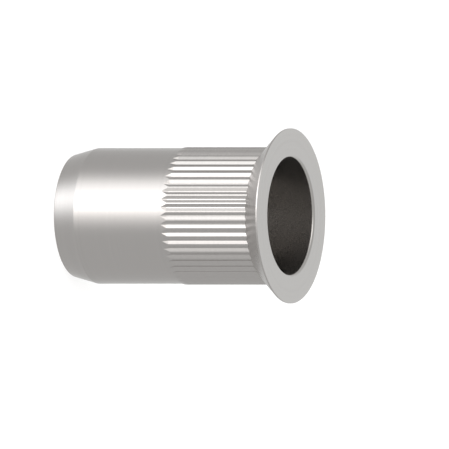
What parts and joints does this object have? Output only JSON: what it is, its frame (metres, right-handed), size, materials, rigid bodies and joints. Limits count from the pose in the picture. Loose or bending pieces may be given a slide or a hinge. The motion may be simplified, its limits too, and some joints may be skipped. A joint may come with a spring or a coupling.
{
  "type": "knurled rivet nut",
  "caption": "Blind rivet nut with a countersunk head, a straight-knurled folding wall, a plain shank with a tapered lead, and a thread at its open far end.",
  "frame": {"origin": "centre of the end face on the threaded end, on the axis", "axes": "+Z along the axis, from the threaded end to the flat face of the head; one groove of the knurl faces -Y"},
  "size_m": [0.0142, 0.0142, 0.0188],
  "materials": {
    "stainless_steel": "fine turned, satin, slightly warm grey"
  },
  "bodies": {
    "root": {"rivet_nut": "stainless_steel"}
  },
  "joints": []
}
